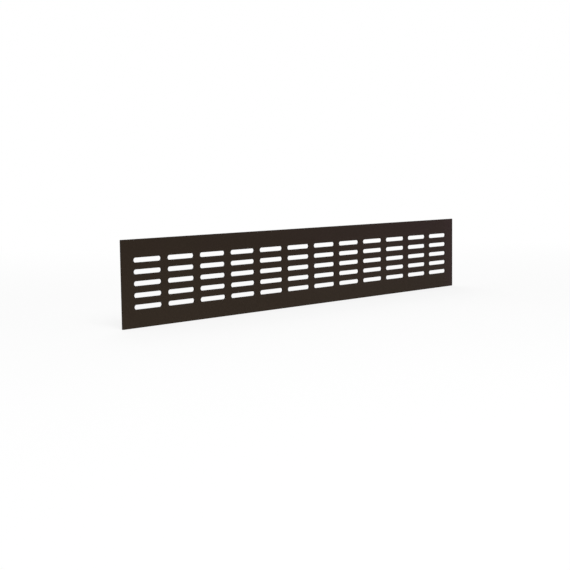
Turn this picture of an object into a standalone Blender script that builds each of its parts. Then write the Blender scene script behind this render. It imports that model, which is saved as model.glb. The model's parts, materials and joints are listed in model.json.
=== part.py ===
"""Window trickle vent with a slotted face plate and a shutter that closes all its slots at once.

The shutter lies behind the face plate. Its studs run in slanted slots of the two base rails, so a pull on
the grip at its right end lifts it by half a row pitch, and its bars then stand behind the slots of the face.

Metres. X runs along the vent, Z is up, and the face looks along -Y. The origin is the middle of the plane
in which the vent lies against the window. The shutter is modelled open.
"""

import math

import bmesh
import bpy
from mathutils import Matrix, Vector

# Clearance between pieces that touch
GAP = 0.0003

# Slot pattern of the face plate
COLUMNS = 12
ROWS = 5
COLUMN_PITCH = 0.040
ROW_PITCH = 0.0106
SLOT_LENGTH = 0.0326
SLOT_HEIGHT = 0.0044
SLOT_ARC_STEPS = 8

# Face plate and the snap legs on its back
PLATE_THICKNESS = 0.0018
LEG_INSET = 0.0010
LEG_THICKNESS = 0.0010
LEG_DEPTH = 0.0027
LEG_SETBACK = 0.012
LEG_ROOT = 0.0005
BARB_HEIGHT = 0.0006
BARB_WIDTH = 0.0008

# Base rails
RAIL_WALL = 0.0018
RAIL_WEB = 0.0015
RAIL_LEAD_IN = 0.0004
GROOVE_DEPTH = 0.0009
STUD_SLOT_RIM = 0.00105
RAIL_TO_SLOT = 0.0013

# End caps
CAP_TO_SLOT = 0.0063
CAP_WALL = 0.0024
CAP_SETBACK = 0.0050
CAP_CORNER = 0.0010
FOOT_LENGTH = 0.0160
FOOT_WIDTH = 0.0066
FOOT_CORNER = 0.0015
FOOT_RELIEF = 0.0001

# Shutter
SHUTTER_THICKNESS = 0.0012
SHUTTER_RIM = 0.0007
SHUTTER_COVER = 0.0010
SHUTTER_SLOT_EASE = 0.0004
SHUTTER_SLOT_OVERRUN = 0.0021
SHUTTER_ARC_STEPS = 6
SHUTTER_CORNER = 0.0010
RAMP_ANGLE = math.radians(45)
TAB_HEIGHT = 0.040
TAB_REACH = 0.0015
TAB_CORNER = 0.0020

# Studs of the shutter
STUDS_PER_RAIL = 3
STUD_PITCH = 0.160
STUD_DIAMETER = 0.0025
STUD_HEAD_DIAMETER = 0.0040
STUD_HEAD_THICKNESS = 0.0005
STUD_CHAMFER = 0.0003

# Grip and its rivets
GRIP_HEIGHT = 0.036
GRIP_TO_CAP = 0.0009
GRIP_REACH = 0.0076
GRIP_NOSE = 0.0011
GRIP_EDGE = 0.0006
GRIP_CORNER = 0.0030
GRIP_INNER_CORNER = 0.0008
HOLLOW_HEIGHT = 0.026
HOLLOW_WIDTH = 0.0046
HOLLOW_DEPTH = 0.0009
HOLLOW_RIBS = 7
RIB_HEIGHT = 0.00025
HOLLOW_STEPS = 48
HOLLOW_END_STEPS = 6
RIVET_INSET = 0.0060
RIVET_RIM = 0.0005
RIVET_DIAMETER = 0.0016
RIVET_HEAD_DIAMETER = 0.0030
RIVET_HEAD_THICKNESS = 0.0006

# Fixing screws, countersunk at 90 degrees
SCREW_DIAMETER = 0.0030
SCREW_HEAD_DIAMETER = 0.0056
SCREW_LENGTH = 0.016
SCREW_POINT = 0.0035
SCREW_TO_CAP = 0.0088
RECESS_WIDTH = 0.0030
RECESS_THICKNESS = 0.0007
RECESS_DEPTH = 0.0011

# Foam seals
SEAL_THICKNESS = 0.0009
SEAL_WIDTH = 0.0050
SEAL_INSET = 0.0003

# Facets round a turned piece and along a fillet, and the angle up to which they are shaded as one surface
ROUND_STEPS = 20
FILLET_STEPS = 4
SMOOTH_ANGLE = math.radians(35)

# Distance within which points of a cap and a side are one point
WELD = 0.00001

# How far a cutter runs past the faces that it cuts
CUT_PAST = 0.001

# Drawn size of the empty that carries the shutter
EMPTY_SIZE = 0.010

# Height that the shutter gains when it closes, and the shift along the vent that goes with it
RISE = ROW_PITCH / 2
SHIFT = RISE / math.tan(RAMP_ANGLE)

# Distances from a long edge of the face plate, inwards
WALL_OUTER = LEG_INSET + LEG_THICKNESS + GAP
WALL_INNER = WALL_OUTER + RAIL_WALL
SHUTTER_EDGE = WALL_INNER + GAP
STUD_EDGE = SHUTTER_EDGE + SHUTTER_RIM + STUD_HEAD_DIAMETER / 2 + GAP
WEB_EDGE = STUD_EDGE + RISE + STUD_DIAMETER / 2 + GAP + STUD_SLOT_RIM
SEAL_OUTER = WALL_OUTER + SEAL_INSET
FOOT_OUTER = SEAL_OUTER + SEAL_WIDTH + GAP
SCREW_EDGE = FOOT_OUTER + FOOT_WIDTH / 2

# Half sizes of the slot field and of the face plate
FIELD_HALF_LENGTH = ((COLUMNS - 1) * COLUMN_PITCH + SLOT_LENGTH) / 2
FIELD_HALF_HEIGHT = ((ROWS - 1) * ROW_PITCH + SLOT_HEIGHT) / 2
HALF_LENGTH = FIELD_HALF_LENGTH + CAP_TO_SLOT + CAP_WALL + CAP_SETBACK
HALF_HEIGHT = FIELD_HALF_HEIGHT + WEB_EDGE + RAIL_TO_SLOT

# Places along the vent
CAP_INNER = FIELD_HALF_LENGTH + CAP_TO_SLOT
CAP_OUTER = CAP_INNER + CAP_WALL
RAIL_HALF_LENGTH = CAP_INNER - GAP
SHUTTER_HALF_LENGTH = FIELD_HALF_LENGTH + SHUTTER_COVER + SHIFT
TAB_END = HALF_LENGTH + TAB_REACH
GRIP_INNER = CAP_OUTER + GRIP_TO_CAP
GRIP_OUTER = HALF_LENGTH + GRIP_REACH
RIVET_X = GRIP_INNER + RIVET_RIM + GAP + RIVET_HEAD_DIAMETER / 2
RIVET_Z = GRIP_HEIGHT / 2 - RIVET_INSET
SCREW_X = CAP_INNER - SCREW_TO_CAP

# Depths in front of the window, as negative Y
WEB_BACK = -(SEAL_THICKNESS + GAP)
WEB_FRONT = WEB_BACK - RAIL_WEB
SHUTTER_BACK = WEB_FRONT - GAP
SHUTTER_FRONT = SHUTTER_BACK - SHUTTER_THICKNESS
PLATE_BACK = SHUTTER_FRONT - GAP
PLATE_FRONT = PLATE_BACK - PLATE_THICKNESS

# A sheet's outline is drawn in X and Z, and a section in Y and Z
SHEET_FRAME = Matrix.Rotation(math.pi / 2, 4, "X")
SECTION_FRAME = Matrix.Rotation(math.pi / 2, 4, "Z") @ Matrix.Rotation(math.pi / 2, 4, "X")
HALF_TURN = Matrix.Rotation(math.pi, 4, "Y")

PARTS = "window_trickle_vent"
CUTTERS = "cutters"

FINISHES = {
    "coated_aluminium": ((0.034, 0.023, 0.018, 1.0), 0.45, 0.2),
    "mill_aluminium": ((0.60, 0.60, 0.59, 1.0), 0.40, 1.0),
    "moulded_plastic": ((0.030, 0.026, 0.024, 1.0), 0.50, 0.0),
    "nylon": ((0.72, 0.70, 0.64, 1.0), 0.45, 0.0),
    "plated_steel": ((0.55, 0.54, 0.50, 1.0), 0.30, 1.0),
    "foam": ((0.045, 0.045, 0.048, 1.0), 0.95, 0.0),
}


def clear_scene():
    for obj in list(bpy.data.objects):
        bpy.data.objects.remove(obj, do_unlink=True)


def add_collections():
    for name in (PARTS, CUTTERS):
        bpy.context.scene.collection.children.link(bpy.data.collections.new(name))


def add_finishes():
    for name, (colour, roughness, metallic) in FINISHES.items():
        finish = bpy.data.materials.new(name)
        finish.use_nodes = True
        shader = finish.node_tree.nodes["Principled BSDF"]
        shader.inputs["Base Color"].default_value = colour
        shader.inputs["Roughness"].default_value = roughness
        shader.inputs["Metallic"].default_value = metallic


def as_part(obj, name, finish):
    """Files a finished solid among the parts, with its own copy of a finish."""
    obj.name = name
    own = bpy.data.materials[finish].copy()
    own.name = f"{name}_{finish}"
    if not obj.data.materials:
        obj.data.materials.append(None)
    slot = obj.material_slots[0]
    slot.link = "OBJECT"
    slot.material = own
    bpy.data.collections[PARTS].objects.link(obj)
    return obj


def as_helper(obj, name):
    obj.name = name
    obj.hide_render = True
    obj.display_type = "WIRE"
    bpy.data.collections[CUTTERS].objects.link(obj)
    return obj


def mesh_object(source):
    """A plain mesh of what an object evaluates to, in place of the object."""
    bpy.context.scene.collection.objects.link(source)
    bpy.context.view_layer.update()
    graph = bpy.context.evaluated_depsgraph_get()
    mesh = bpy.data.meshes.new_from_object(source.evaluated_get(graph))
    made = bpy.data.objects.new(source.name, mesh)
    made.matrix_world = source.matrix_world
    bpy.data.objects.remove(source, do_unlink=True)
    work = bmesh.new()
    work.from_mesh(mesh)
    bmesh.ops.remove_doubles(work, verts=work.verts, dist=WELD)
    bmesh.ops.recalc_face_normals(work, faces=work.faces)
    work.to_mesh(mesh)
    work.free()
    return made


def extruded(loops, thickness, frame, centre):
    """A flat outline, with its holes as further loops, given a thickness about its middle."""
    curve = bpy.data.curves.new("outline", "CURVE")
    curve.dimensions = "2D"
    curve.fill_mode = "BOTH"
    curve.extrude = thickness / 2
    for loop in loops:
        spline = curve.splines.new("POLY")
        spline.points.add(len(loop) - 1)
        for point, (u, v) in zip(spline.points, loop):
            point.co = (u, v, 0.0, 1.0)
        spline.use_cyclic_u = True
    source = bpy.data.objects.new("outline", curve)
    source.matrix_world = Matrix.Translation(centre) @ frame
    return mesh_object(source)


def turned(profile, steps=ROUND_STEPS):
    """A round solid about its own Z from its outer side, listed top to bottom as radius and height."""
    mesh = bpy.data.meshes.new("profile")
    points = [(radius, 0.0, height) for radius, height in profile]
    mesh.from_pydata(points, [(i, i + 1) for i in range(len(points) - 1)], [])
    source = bpy.data.objects.new("profile", mesh)
    screw = source.modifiers.new("turn", "SCREW")
    screw.steps = steps
    screw.render_steps = steps
    screw.use_merge_vertices = True
    screw.merge_threshold = WELD
    made = mesh_object(source)
    made.data.shade_smooth()
    made.data.set_sharp_from_angle(angle=SMOOTH_ANGLE)
    return made


def combine(target, helper, operation, solver="EXACT"):
    """Cuts a helper from a solid, or joins it on, and keeps the result as the solid's mesh."""
    name = target.name
    modifier = target.modifiers.new(helper.name, "BOOLEAN")
    modifier.operation = operation
    modifier.solver = solver
    modifier.object = helper
    made = mesh_object(target)
    made.name = name
    return made


def joined_solids(solids):
    """One helper mesh of several solids that stay apart."""
    work = bmesh.new()
    for solid in solids:
        solid.data.transform(solid.matrix_world)
        work.from_mesh(solid.data)
        bpy.data.objects.remove(solid, do_unlink=True)
    mesh = bpy.data.meshes.new("joined")
    work.to_mesh(mesh)
    work.free()
    return bpy.data.objects.new("joined", mesh)


def facing_front(obj, place):
    """Puts a turned solid in place with its own Z towards the front."""
    obj.matrix_world = Matrix.Translation(place) @ SHEET_FRAME
    return obj


def twin(obj, name, finish, placing):
    """Another part with the same mesh, placed by a matrix."""
    other = bpy.data.objects.new(name, obj.data)
    other.matrix_world = placing
    return as_part(other, name, finish)


def rectangle(u0, v0, u1, v1):
    return [(u0, v0), (u1, v0), (u1, v1), (u0, v1)]


def filleted(corners):
    """An outline from its corners, each with the radius of its fillet, which may be zero."""
    outline = []
    for i, (u, v, radius) in enumerate(corners):
        corner = Vector((u, v))
        if not radius:
            outline.append((u, v))
            continue
        before = (Vector(corners[i - 1][:2]) - corner).normalized()
        after = (Vector(corners[(i + 1) % len(corners)][:2]) - corner).normalized()
        half = before.angle(after) / 2
        centre = corner + (before + after).normalized() * radius / math.sin(half)
        first = corner + before * radius / math.tan(half) - centre
        last = corner + after * radius / math.tan(half) - centre
        sweep = first.angle(last)
        for step in range(FILLET_STEPS + 1):
            turn = sweep * step / FILLET_STEPS
            spoke = (first * math.sin(sweep - turn) + last * math.sin(turn)) / math.sin(sweep)
            outline.append(tuple(centre + spoke))
    return outline


def round_ended(centre, straight, radius, steps, angle=0.0):
    """A slot with round ends: its arcs' centres stand a straight length apart, along an angle."""
    points = []
    for end, start in ((1, -math.pi / 2), (-1, math.pi / 2)):
        for i in range(steps + 1):
            turn = start + math.pi * i / steps
            u = end * straight / 2 + radius * math.cos(turn)
            v = radius * math.sin(turn)
            points.append((u, v))
    c, s = math.cos(angle), math.sin(angle)
    return [(centre[0] + c * u - s * v, centre[1] + s * u + c * v) for u, v in points]


def circle(centre, radius):
    turns = [2 * math.pi * i / ROUND_STEPS for i in range(ROUND_STEPS)]
    return [(centre[0] + radius * math.cos(t), centre[1] + radius * math.sin(t)) for t in turns]


def slot_field(length, height, steps):
    """The loops of all slots, one for each column and row."""
    loops = []
    for column in range(COLUMNS):
        for row in range(ROWS):
            x = (column - (COLUMNS - 1) / 2) * COLUMN_PITCH
            z = (row - (ROWS - 1) / 2) * ROW_PITCH
            loops.append(round_ended((x, z), length - height, height / 2, steps))
    return loops


def stud_places():
    """Where the studs stand when the shutter is open, first along the bottom, then along the top."""
    xs = [(i - (STUDS_PER_RAIL - 1) / 2) * STUD_PITCH for i in range(STUDS_PER_RAIL)]
    bottom = -HALF_HEIGHT + STUD_EDGE
    top = HALF_HEIGHT - STUD_EDGE - RISE
    return [(x, bottom) for x in xs] + [(x - SHIFT, top) for x in xs]


def middle(front, back):
    return (front + back) / 2


def make_face_plate():
    """The slotted plate, with a barbed leg along each long edge of its back."""
    outline = rectangle(-HALF_LENGTH, -HALF_HEIGHT, HALF_LENGTH, HALF_HEIGHT)
    loops = [outline] + slot_field(SLOT_LENGTH, SLOT_HEIGHT, SLOT_ARC_STEPS)
    centre = Vector((0, middle(PLATE_FRONT, PLATE_BACK), 0))
    plate = extruded(loops, PLATE_THICKNESS, SHEET_FRAME, centre)
    outer = -HALF_HEIGHT + LEG_INSET
    inner = outer + LEG_THICKNESS
    tip = PLATE_BACK + LEG_DEPTH
    section = [
        (PLATE_BACK - LEG_ROOT, outer),
        (tip, outer),
        (tip, inner),
        (tip - BARB_WIDTH / 2, inner + BARB_HEIGHT),
        (tip - BARB_WIDTH, inner + BARB_HEIGHT),
        (tip - BARB_WIDTH, inner),
        (PLATE_BACK - LEG_ROOT, inner),
    ]
    length = 2 * (HALF_LENGTH - LEG_SETBACK)
    bottom = extruded([section], length, SECTION_FRAME, Vector((0, 0, 0)))
    top = bpy.data.objects.new("top", bottom.data.copy())
    top.matrix_world = HALF_TURN @ bottom.matrix_world
    legs = as_helper(joined_solids([bottom, top]), "snap_legs")
    # The exact solver leaves gaps beside the many slots here
    plate = combine(plate, legs, "UNION", solver="MANIFOLD")
    return as_part(plate, "face_plate", "coated_aluminium")


def make_rails():
    """Both base rails: one extrusion, turned over for the top."""
    low = -HALF_HEIGHT
    leg_tip = PLATE_BACK + LEG_DEPTH
    groove_front = leg_tip - BARB_WIDTH - GAP
    groove_back = leg_tip + GAP
    section = [
        (WEB_BACK, low + WALL_OUTER),
        (WEB_BACK, low + WEB_EDGE),
        (WEB_FRONT, low + WEB_EDGE),
        (WEB_FRONT, low + WALL_INNER),
        (SHUTTER_FRONT, low + WALL_INNER),
        (SHUTTER_FRONT, low + WALL_OUTER + RAIL_LEAD_IN),
        (SHUTTER_FRONT + RAIL_LEAD_IN, low + WALL_OUTER),
        (groove_front, low + WALL_OUTER),
        (groove_front, low + WALL_OUTER + GROOVE_DEPTH),
        (groove_back, low + WALL_OUTER + GROOVE_DEPTH),
        (groove_back, low + WALL_OUTER),
    ]
    rail = extruded([section], 2 * RAIL_HALF_LENGTH, SECTION_FRAME, Vector((0, 0, 0)))

    radius = STUD_DIAMETER / 2 + GAP
    straight = RISE / math.sin(RAMP_ANGLE)
    ramps = []
    for x, z in stud_places()[:STUDS_PER_RAIL]:
        centre = (x + SHIFT / 2, z + RISE / 2)
        ramps.append(round_ended(centre, straight, radius, SLOT_ARC_STEPS, RAMP_ANGLE))
    depth = RAIL_WEB + 2 * CUT_PAST
    place = Vector((0, middle(WEB_FRONT, WEB_BACK), 0))
    cutters = [extruded(ramps, depth, SHEET_FRAME, place)]

    head = SCREW_HEAD_DIAMETER / 2 + GAP
    hole = SCREW_DIAMETER / 2 + GAP
    bore = [(0, CUT_PAST), (head, CUT_PAST), (head, 0), (hole, hole - head), (hole, -depth), (0, -depth)]
    for x in (-SCREW_X, SCREW_X):
        place = Vector((x, WEB_FRONT, low + SCREW_EDGE))
        cutters.append(facing_front(turned(bore), place))
    cutter = as_helper(joined_solids(cutters), "rail_cutter")
    rail = as_part(combine(rail, cutter, "DIFFERENCE"), "base_rail_bottom", "mill_aluminium")
    twin(rail, "base_rail_top", "mill_aluminium", HALF_TURN @ rail.matrix_world)


def make_end_caps():
    """Both end caps: a wall across the ends of the rails, with a foot under each rail."""
    low = -HALF_HEIGHT
    outline = [
        (-CAP_OUTER, low + WALL_OUTER, CAP_CORNER),
        (-CAP_INNER, low + WALL_OUTER, 0),
        (-CAP_INNER, -low - WALL_OUTER, 0),
        (-CAP_OUTER, -low - WALL_OUTER, CAP_CORNER),
    ]
    place = Vector((0, SHUTTER_FRONT / 2, 0))
    cap = extruded([filleted(outline)], -SHUTTER_FRONT, SHEET_FRAME, place)

    # The shutter's way across the wall
    way = rectangle(-CAP_OUTER - CUT_PAST, low + WALL_INNER, -CAP_INNER + CUT_PAST, -low - WALL_INNER)
    depth = WEB_FRONT - SHUTTER_FRONT + CUT_PAST
    way = extruded([way], depth, SHEET_FRAME, Vector((0, WEB_FRONT - depth / 2, 0)))
    cap = combine(cap, as_helper(way, "shutter_way"), "DIFFERENCE")

    root = -middle(CAP_INNER, CAP_OUTER)
    foot_end = -CAP_INNER + FOOT_LENGTH
    thickness = SEAL_THICKNESS - FOOT_RELIEF
    feet = []
    for side in (-1, 1):
        near = side * (HALF_HEIGHT - FOOT_OUTER)
        far = side * (HALF_HEIGHT - FOOT_OUTER - FOOT_WIDTH)
        foot = [(root, near, 0), (foot_end, near, FOOT_CORNER), (foot_end, far, FOOT_CORNER), (root, far, 0)]
        hole = circle((-SCREW_X, side * (HALF_HEIGHT - SCREW_EDGE)), SCREW_DIAMETER / 2 + GAP)
        place = Vector((0, -middle(SEAL_THICKNESS, FOOT_RELIEF), 0))
        feet.append(extruded([filleted(foot), hole], thickness, SHEET_FRAME, place))
    cap = combine(cap, as_helper(joined_solids(feet), "cap_feet"), "UNION")
    cap = as_part(cap, "end_cap_left", "moulded_plastic")
    twin(cap, "end_cap_right", "moulded_plastic", HALF_TURN @ cap.matrix_world)


def make_seals():
    """A foam strip under the outer edge of each rail."""
    low = -HALF_HEIGHT + SEAL_OUTER
    strip = rectangle(-RAIL_HALF_LENGTH, low, RAIL_HALF_LENGTH, low + SEAL_WIDTH)
    seal = extruded([strip], SEAL_THICKNESS, SHEET_FRAME, Vector((0, -SEAL_THICKNESS / 2, 0)))
    seal = as_part(seal, "seal_bottom", "foam")
    twin(seal, "seal_top", "foam", HALF_TURN @ seal.matrix_world)


def make_screws():
    """Countersunk screws through the rails and the feet of the end caps."""
    head = SCREW_HEAD_DIAMETER / 2
    shank = SCREW_DIAMETER / 2
    profile = [
        (0, 0),
        (head, 0),
        (shank, shank - head),
        (shank, SCREW_POINT - SCREW_LENGTH),
        (0, -SCREW_LENGTH),
    ]
    screw = turned(profile)
    blades = []
    for along, across in ((RECESS_WIDTH, RECESS_THICKNESS), (RECESS_THICKNESS, RECESS_WIDTH)):
        blade = rectangle(-along / 2, -across / 2, along / 2, across / 2)
        blades.append(extruded([blade], 2 * RECESS_DEPTH, Matrix.Identity(4), Vector((0, 0, 0))))
    for number, blade in enumerate(blades):
        screw = combine(screw, as_helper(blade, f"recess_blade_{number}"), "DIFFERENCE")
    screw.data.shade_smooth()
    screw.data.set_sharp_from_angle(angle=SMOOTH_ANGLE)
    z = -HALF_HEIGHT + SCREW_EDGE
    corners = {
        "fixing_screw_bottom_left": (-SCREW_X, z),
        "fixing_screw_bottom_right": (SCREW_X, z),
        "fixing_screw_top_left": (-SCREW_X, -z),
        "fixing_screw_top_right": (SCREW_X, -z),
    }
    for name, (x, z) in corners.items():
        placing = Matrix.Translation(Vector((x, WEB_FRONT, z))) @ SHEET_FRAME
        twin(screw, name, "plated_steel", placing)
    bpy.data.objects.remove(screw, do_unlink=True)


def make_shutter():
    """The slotted sheet that slides, with a tab at its right end."""
    bottom = -HALF_HEIGHT + SHUTTER_EDGE
    top = HALF_HEIGHT - SHUTTER_EDGE - RISE
    half_tab = TAB_HEIGHT / 2
    right = SHUTTER_HALF_LENGTH
    outline = [
        (-SHUTTER_HALF_LENGTH, bottom, SHUTTER_CORNER),
        (right, bottom, SHUTTER_CORNER),
        (right, -half_tab, 0),
        (TAB_END, -half_tab, TAB_CORNER),
        (TAB_END, half_tab, TAB_CORNER),
        (right, half_tab, 0),
        (right, top, SHUTTER_CORNER),
        (-SHUTTER_HALF_LENGTH, top, SHUTTER_CORNER),
    ]
    length = SLOT_LENGTH + 2 * SHUTTER_SLOT_OVERRUN
    height = SLOT_HEIGHT + 2 * SHUTTER_SLOT_EASE
    loops = [filleted(outline)] + slot_field(length, height, SHUTTER_ARC_STEPS)
    centre = Vector((0, middle(SHUTTER_FRONT, SHUTTER_BACK), 0))
    sheet = extruded(loops, SHUTTER_THICKNESS, SHEET_FRAME, centre)

    head = STUD_HEAD_DIAMETER / 2 + GAP
    hole = STUD_DIAMETER / 2 + GAP
    seat = -(STUD_HEAD_THICKNESS + GAP)
    past = SHUTTER_THICKNESS + CUT_PAST
    bore = [(0, CUT_PAST), (head, CUT_PAST), (head, seat), (hole, seat), (hole, -past), (0, -past)]
    cutters = []
    for x, z in stud_places():
        cutters.append(facing_front(turned(bore), Vector((x, SHUTTER_FRONT, z))))
    head = RIVET_HEAD_DIAMETER / 2 + GAP
    hole = RIVET_DIAMETER / 2 + GAP
    sink = [(0, CUT_PAST), (head, CUT_PAST), (head, 0), (hole, hole - head), (hole, -past), (0, -past)]
    for z in (-RIVET_Z, RIVET_Z):
        cutters.append(facing_front(turned(sink), Vector((RIVET_X, SHUTTER_FRONT, z))))
    cutter = as_helper(joined_solids(cutters), "shutter_cutter")
    # As on the face plate
    sheet = combine(sheet, cutter, "DIFFERENCE", solver="MANIFOLD")
    return as_part(sheet, "shutter_plate", "coated_aluminium")


def make_studs():
    """Headed studs that lie in the shutter and run in the slanted slots."""
    head = STUD_HEAD_DIAMETER / 2
    shank = STUD_DIAMETER / 2
    length = WEB_BACK - SHUTTER_FRONT - STUD_CHAMFER
    profile = [
        (0, 0),
        (head, 0),
        (head, -STUD_HEAD_THICKNESS),
        (shank, -STUD_HEAD_THICKNESS),
        (shank, STUD_CHAMFER - length),
        (shank - STUD_CHAMFER, -length),
        (0, -length),
    ]
    stud = turned(profile)
    made = []
    for number, (x, z) in enumerate(stud_places()):
        rail = "bottom" if number < STUDS_PER_RAIL else "top"
        name = f"shutter_stud_{rail}_{number % STUDS_PER_RAIL + 1}"
        placing = Matrix.Translation(Vector((x, SHUTTER_FRONT, z))) @ SHEET_FRAME
        made.append(twin(stud, name, "nylon", placing))
    bpy.data.objects.remove(stud, do_unlink=True)
    return made


def finger_hollow(start, end):
    """The ribbed hollow for a fingertip, cut into the slope between two points of the grip's section."""
    slope = end - start
    outwards = Vector((slope.y, -slope.x)).normalized()
    radius = (HOLLOW_WIDTH ** 2 / 4 + HOLLOW_DEPTH ** 2) / (2 * HOLLOW_DEPTH)
    straight = HOLLOW_HEIGHT - HOLLOW_WIDTH
    turns = [math.pi / 2 * i / HOLLOW_END_STEPS for i in range(1, HOLLOW_END_STEPS)]
    end_arc = [(radius * math.sin(t), straight / 2 + radius * math.cos(t)) for t in turns]
    ribs = []
    for i in range(2 * HOLLOW_RIBS + 1):
        height = straight / 2 - straight * i / (2 * HOLLOW_RIBS)
        ribs.append((radius - (RIB_HEIGHT if i % 2 else 0), height))
    top = [(0, straight / 2 + radius)] + end_arc
    profile = top + ribs + [(across, -height) for across, height in reversed(top)]
    hollow = turned(profile, HOLLOW_STEPS)
    centre = (start + end) / 2 + outwards * (radius - HOLLOW_DEPTH)
    hollow.matrix_world = Matrix.Translation((centre.x, centre.y, 0))
    return hollow


def make_grip():
    """The moulded grip behind the shutter's tab, which stands out past the right end of the face plate."""
    back = -GAP
    nose = TAB_END + GAP
    slope_start = Vector((nose + GRIP_NOSE, SHUTTER_FRONT))
    slope_end = Vector((GRIP_OUTER, back - GRIP_EDGE))
    section = [
        (GRIP_INNER - CUT_PAST, WEB_FRONT),
        (nose, WEB_FRONT),
        (nose, SHUTTER_FRONT),
        tuple(slope_start),
        tuple(slope_end),
        (GRIP_OUTER + CUT_PAST, slope_end.y),
        (GRIP_OUTER + CUT_PAST, back),
        (GRIP_INNER - CUT_PAST, back),
    ]
    upright = Matrix.Identity(4)
    grip = extruded([section], GRIP_HEIGHT + 2 * CUT_PAST, upright, Vector((0, 0, 0)))

    low = -GRIP_HEIGHT / 2
    outline = [
        (GRIP_INNER, low, GRIP_INNER_CORNER),
        (GRIP_OUTER, low, GRIP_CORNER),
        (GRIP_OUTER, -low, GRIP_CORNER),
        (GRIP_INNER, -low, GRIP_INNER_CORNER),
    ]
    depth = back - SHUTTER_FRONT
    place = Vector((0, middle(SHUTTER_FRONT, back), 0))
    blank = extruded([filleted(outline)], depth + 2 * CUT_PAST, SHEET_FRAME, place)
    grip = combine(grip, as_helper(blank, "grip_outline"), "INTERSECT")
    hollow = as_helper(finger_hollow(slope_start, slope_end), "finger_hollow")
    grip = combine(grip, hollow, "DIFFERENCE")

    head = RIVET_HEAD_DIAMETER / 2 + GAP
    hole = RIVET_DIAMETER / 2 + GAP
    seat = RIVET_HEAD_THICKNESS + GAP
    past = depth + CUT_PAST
    bore = [(0, past), (hole, past), (hole, seat), (head, seat), (head, -CUT_PAST), (0, -CUT_PAST)]
    cutters = []
    for z in (-RIVET_Z, RIVET_Z):
        cutters.append(facing_front(turned(bore), Vector((RIVET_X, back, z))))
    cutter = as_helper(joined_solids(cutters), "grip_cutter")
    grip = combine(grip, cutter, "DIFFERENCE")
    grip.data.shade_smooth()
    grip.data.set_sharp_from_angle(angle=SMOOTH_ANGLE)
    return as_part(grip, "finger_grip", "moulded_plastic")


def make_rivets():
    """Two rivets that hold the grip on the tab: flush in front, sunk behind."""
    head = RIVET_HEAD_DIAMETER / 2
    shank = RIVET_DIAMETER / 2
    length = -GAP - SHUTTER_FRONT
    profile = [
        (0, 0),
        (head, 0),
        (shank, shank - head),
        (shank, RIVET_HEAD_THICKNESS - length),
        (head, RIVET_HEAD_THICKNESS - length),
        (head, -length),
        (0, -length),
    ]
    rivet = turned(profile)
    made = []
    for name, z in (("grip_rivet_lower", -RIVET_Z), ("grip_rivet_upper", RIVET_Z)):
        placing = Matrix.Translation(Vector((RIVET_X, SHUTTER_FRONT, z))) @ SHEET_FRAME
        made.append(twin(rivet, name, "mill_aluminium", placing))
    bpy.data.objects.remove(rivet, do_unlink=True)
    return made


def carry_on_slide(pieces):
    """Hangs the moving pieces on an empty that stands where the slide's axis meets the first ramp."""
    x, z = stud_places()[0]
    slide = bpy.data.objects.new("shutter_slide", None)
    slide.empty_display_size = EMPTY_SIZE
    slide.location = (x, middle(SHUTTER_FRONT, SHUTTER_BACK), z)
    slide.rotation_euler = (0, -RAMP_ANGLE, 0)
    bpy.data.collections[PARTS].objects.link(slide)
    bpy.context.view_layer.update()
    for piece in pieces:
        piece.parent = slide
        piece.matrix_parent_inverse = slide.matrix_world.inverted()


def main():
    clear_scene()
    add_collections()
    add_finishes()
    make_face_plate()
    make_rails()
    make_end_caps()
    make_seals()
    make_screws()
    carry_on_slide([make_shutter(), make_grip()] + make_studs() + make_rivets())


main()
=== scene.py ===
"""Fine shapes, finishes, stage and camera for a window trickle vent with a sliding shutter.

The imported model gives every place. Lengths are metres, X runs along the vent, Z is up, and the face looks
along -Y. Flat outlines are drawn in X and Z, and sections in Y and Z.
"""

import json
import math
from contextlib import contextmanager

import bmesh
import bpy
from bpy.props import FloatProperty, FloatVectorProperty, IntProperty, PointerProperty
from mathutils import Matrix, Vector


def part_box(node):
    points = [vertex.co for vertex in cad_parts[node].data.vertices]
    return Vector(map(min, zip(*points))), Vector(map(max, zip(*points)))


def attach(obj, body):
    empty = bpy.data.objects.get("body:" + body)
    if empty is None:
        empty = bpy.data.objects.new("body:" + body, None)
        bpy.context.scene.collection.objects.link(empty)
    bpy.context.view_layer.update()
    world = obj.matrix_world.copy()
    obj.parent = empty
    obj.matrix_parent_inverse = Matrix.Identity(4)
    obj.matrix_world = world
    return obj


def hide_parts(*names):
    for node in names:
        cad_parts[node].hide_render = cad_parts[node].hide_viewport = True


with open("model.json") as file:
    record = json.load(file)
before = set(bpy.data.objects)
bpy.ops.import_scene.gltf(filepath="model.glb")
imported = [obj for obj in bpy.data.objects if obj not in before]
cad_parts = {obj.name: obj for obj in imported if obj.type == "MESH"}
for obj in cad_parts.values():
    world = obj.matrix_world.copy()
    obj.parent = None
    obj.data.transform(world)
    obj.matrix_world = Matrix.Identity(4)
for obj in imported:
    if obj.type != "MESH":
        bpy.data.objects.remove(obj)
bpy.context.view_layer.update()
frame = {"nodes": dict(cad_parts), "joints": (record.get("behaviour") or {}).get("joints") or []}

bl_info = {
    "name": "Window Trickle Vent",
    "version": (1, 0, 0),
    "blender": (4, 5, 0),
    "location": "View3D > Sidebar > Vent",
    "description": "Builds the finishes, stage and camera of a slotted window vent",
    "category": "Object",
}


def fastener_size(node):
    """A fastener's head radius, and the height of its end when its front stands at zero."""
    low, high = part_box(node)
    return (high.x - low.x) / 2, low.y - high.y


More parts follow.
